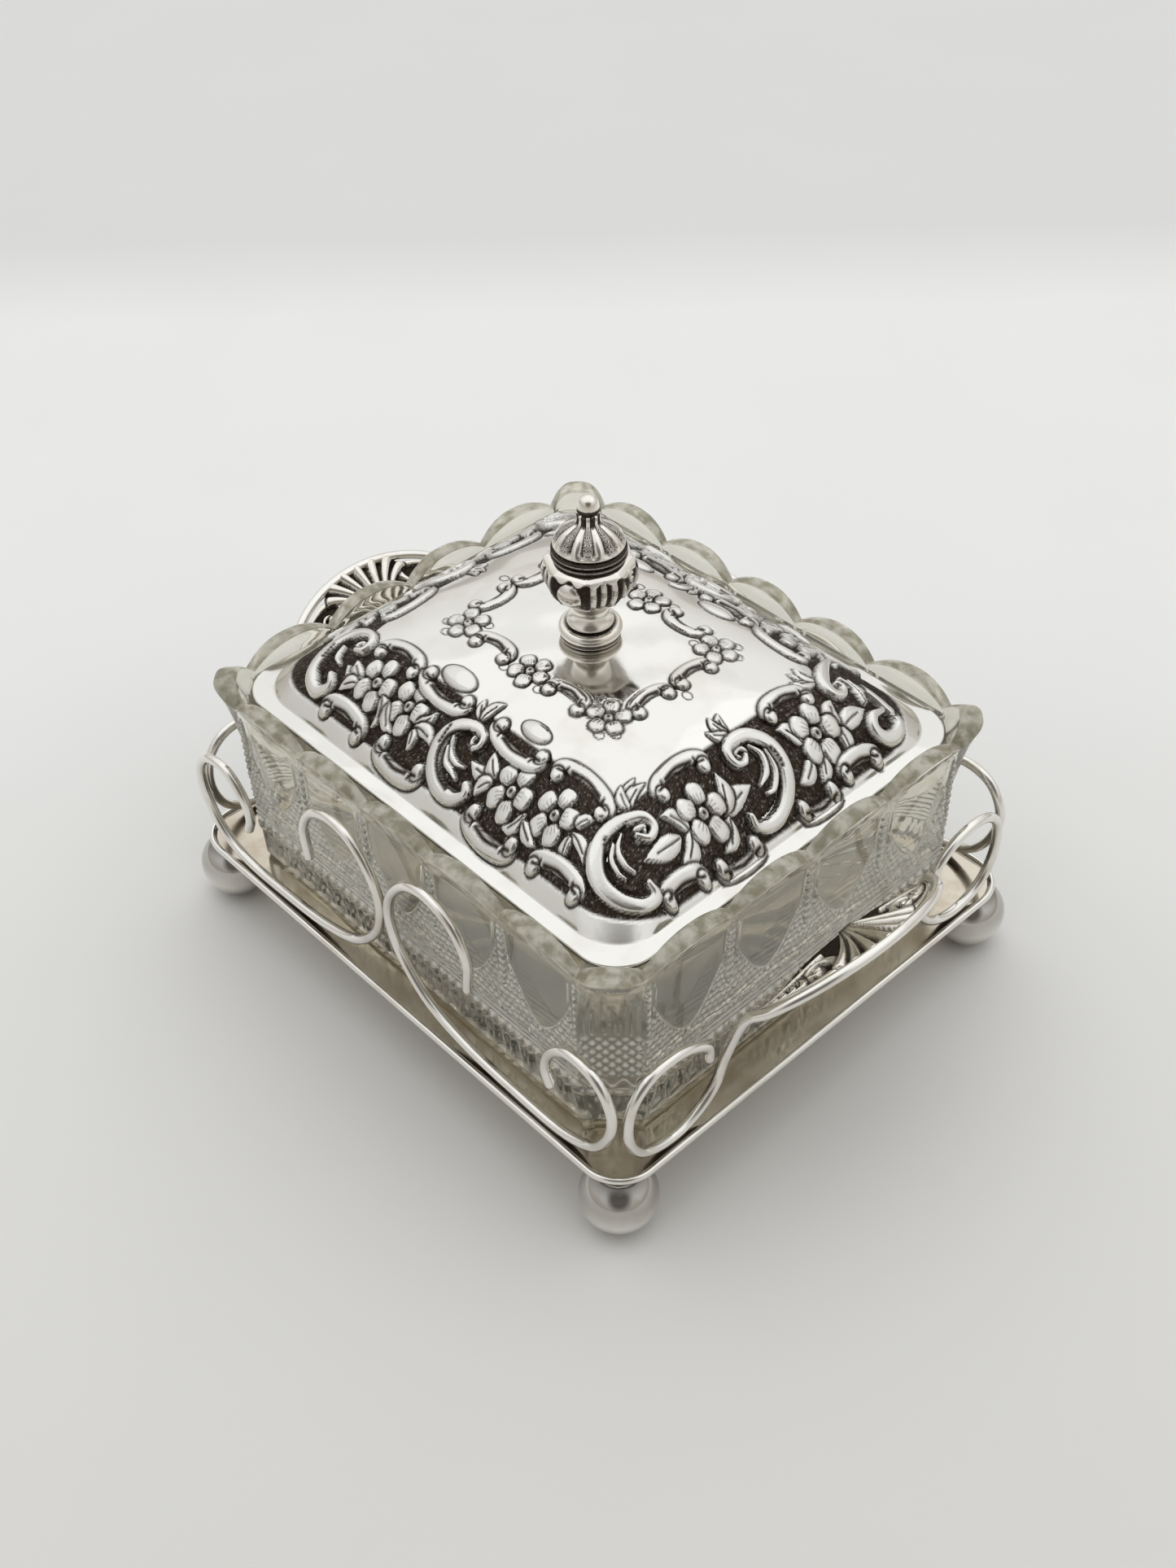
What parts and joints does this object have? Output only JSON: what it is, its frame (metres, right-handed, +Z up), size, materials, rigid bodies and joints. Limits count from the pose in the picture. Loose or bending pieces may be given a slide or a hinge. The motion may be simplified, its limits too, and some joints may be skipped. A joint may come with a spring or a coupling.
{
  "type": "covered glass dish on footed stand",
  "caption": "Rectangular pressed-glass dish with scalloped rim, domed embossed lid with knob finial, on a ball-footed tray with scrolled wire gallery and end handles.",
  "frame": {"origin": "on the table under the middle of the object", "axes": "+X towards one handle along the long side, +Y across the short side, +Z up through the lid's finial"},
  "size_m": [0.1956, 0.1478, 0.1343],
  "materials": {
    "silver_plate": "polished silver plate",
    "oxidised_silver": "cast silver plate with darkened recesses",
    "pressed_glass": "clear pressed glass, faint olive tint"
  },
  "bodies": {
    "stand": {"tray_plate": "silver_plate", "tray_rim": "silver_plate", "foot_front_left": "silver_plate", "foot_front_right": "silver_plate", "foot_back_right": "silver_plate", "foot_back_left": "silver_plate", "side_scroll_front_left": "silver_plate", "side_scroll_front_right": "silver_plate", "side_scroll_back_left": "silver_plate", "side_scroll_back_right": "silver_plate", "end_frame_right": "silver_plate", "end_frame_left": "silver_plate", "foot_collar_front_left": "oxidised_silver", "foot_collar_front_right": "oxidised_silver", "foot_collar_back_right": "oxidised_silver", "foot_collar_back_left": "oxidised_silver", "handle_right": "oxidised_silver", "handle_left": "oxidised_silver"},
    "dish": {"glass_dish": "pressed_glass"},
    "lid": {"lid_shell": "silver_plate", "finial_base": "silver_plate", "finial_stem": "silver_plate", "finial_cap": "silver_plate", "finial_ball": "silver_plate", "finial_body": "oxidised_silver", "finial_ring": "oxidised_silver", "finial_washer": "oxidised_silver", "finial_nut": "oxidised_silver", "finial_stud": "oxidised_silver"}
  },
  "joints": [
    {"name": "dish_lift", "type": "slide", "parent": "stand", "child": "dish", "axis": [0, 0, 1], "range_m": [0, 0.08]},
    {"name": "lid_lift", "type": "slide", "parent": "dish", "child": "lid", "axis": [0, 0, 1], "range_m": [0, 0.06]}
  ]
}
